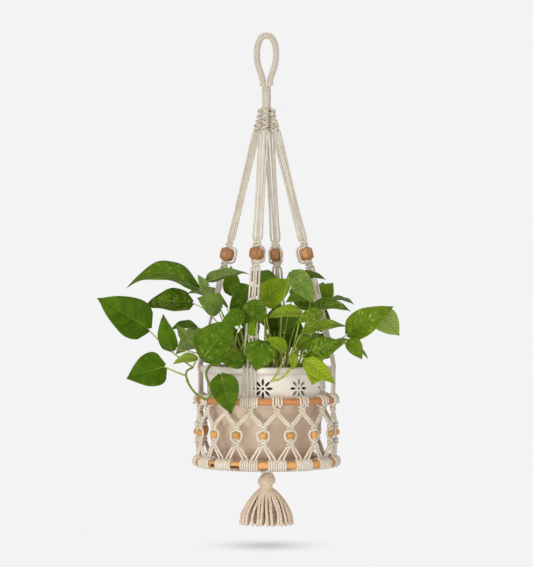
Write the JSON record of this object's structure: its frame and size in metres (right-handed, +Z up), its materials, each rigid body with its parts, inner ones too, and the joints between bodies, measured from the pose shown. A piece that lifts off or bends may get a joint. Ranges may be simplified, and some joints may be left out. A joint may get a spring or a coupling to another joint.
{
  "type": "hanging macrame planter",
  "caption": "Knotted cord planter hanging from a wrapped loop: four beaded straps, two cane rings joined by a beaded net, a tassel, and a pierced pot with a trailing plant.",
  "frame": {"origin": "hook bearing point inside the top of the hanging loop", "axes": "+Z up along the hanging line, +X to the right and -Y to the front as the planter is seen"},
  "size_m": [0.4449, 0.2613, 0.7382],
  "materials": {
    "cotton_cord": "matt twisted cotton cord",
    "cane_amber": "amber lacquered rattan cane",
    "cane_golden": "golden lacquered rattan cane",
    "bead_brown": "satin carved wood",
    "bead_golden": "satin turned wood",
    "glazed_pot": "warm white glaze",
    "glazed_saucer": "warm white glaze",
    "nursery_plastic": "black matt plastic",
    "potting_mix": "loose peat and bark mix",
    "plant_stem": "smooth green stalk",
    "plant_leaf": "glossy living leaf"
  },
  "bodies": {
    "loop": {"loop_core": "cotton_cord", "loop_wrapping": "cotton_cord"},
    "neck": {"gathering_wrap": "cotton_cord", "neck_cords": "cotton_cord"},
    "crown": {"crown_knot_1": "cotton_cord", "crown_knot_2": "cotton_cord", "crown_knot_3": "cotton_cord", "crown_knot_4": "cotton_cord"},
    "hanger": {"strap_crown_knot_1": "cotton_cord", "strap_crown_knot_2": "cotton_cord", "strap_crown_knot_3": "cotton_cord", "strap_crown_knot_4": "cotton_cord", "strap_upper_1": "cotton_cord", "strap_upper_2": "cotton_cord", "strap_upper_3": "cotton_cord", "strap_upper_4": "cotton_cord", "bead_knots_1": "cotton_cord", "bead_knots_2": "cotton_cord", "bead_knots_3": "cotton_cord", "bead_knots_4": "cotton_cord", "strap_lower_1": "cotton_cord", "strap_lower_2": "cotton_cord", "strap_lower_3": "cotton_cord", "strap_lower_4": "cotton_cord", "upper_ring": "cane_amber", "strap_hitches": "cotton_cord", "larks_heads": "cotton_cord", "ring_knots": "cotton_cord", "net_cords_upper": "cotton_cord", "net_bead_knots": "cotton_cord", "net_beads": "bead_golden", "net_cords_lower": "cotton_cord", "lower_ring": "cane_golden", "ring_hitches": "cotton_cord", "base_net": "cotton_cord", "base_gather": "cotton_cord", "saucer": "glazed_saucer"},
    "pot": {"pot": "glazed_pot", "grow_pot": "nursery_plastic", "soil": "potting_mix", "stems": "plant_stem", "leaves_left": "plant_leaf", "leaves_front": "plant_leaf", "leaves_right": "plant_leaf", "leaves_back": "plant_leaf", "leaves_middle": "plant_leaf"},
    "tassel": {"tassel_knot": "cotton_cord", "tassel_strands": "cotton_cord"},
    "bead_1": {"strap_bead_1": "bead_brown"},
    "bead_2": {"strap_bead_2": "bead_brown"},
    "bead_3": {"strap_bead_3": "bead_brown"},
    "bead_4": {"strap_bead_4": "bead_brown"}
  },
  "joints": [
    {"name": "twist", "type": "hinge", "parent": "loop", "child": "neck", "pos_m": [0, 0, -0.072], "axis": [0, 0, 1], "range_deg": [-25, 25], "stiffness_Nm_per_rad": 0.08},
    {"name": "swing_front_back", "type": "hinge", "parent": "neck", "child": "crown", "pos_m": [0, 0, -0.1025], "axis": [1, 0, 0], "range_deg": [-12, 12]},
    {"name": "swing_side", "type": "hinge", "parent": "crown", "child": "hanger", "pos_m": [0, 0, -0.1216], "axis": [0, 1, 0], "range_deg": [-12, 12]},
    {"name": "pot_lift", "type": "slide", "parent": "hanger", "child": "pot", "axis": [0, 0, 1], "range_m": [0, 0.01]},
    {"name": "tassel_swing", "type": "hinge", "parent": "hanger", "child": "tassel", "pos_m": [0, 0, -0.65], "axis": [0, 1, 0], "range_deg": [-20, 20]},
    {"name": "bead_1_spin", "type": "hinge", "parent": "hanger", "child": "bead_1", "pos_m": [-0.01481, -0.0594, -0.323], "axis": [0.0611, 0.245, 0.9676], "continuous": true},
    {"name": "bead_2_spin", "type": "hinge", "parent": "hanger", "child": "bead_2", "pos_m": [0.0594, -0.01481, -0.323], "axis": [-0.245, 0.0611, 0.9676], "continuous": true},
    {"name": "bead_3_spin", "type": "hinge", "parent": "hanger", "child": "bead_3", "pos_m": [0.01481, 0.0594, -0.323], "axis": [-0.0611, -0.245, 0.9676], "continuous": true},
    {"name": "bead_4_spin", "type": "hinge", "parent": "hanger", "child": "bead_4", "pos_m": [-0.0594, 0.01481, -0.323], "axis": [0.245, -0.0611, 0.9676], "continuous": true}
  ]
}
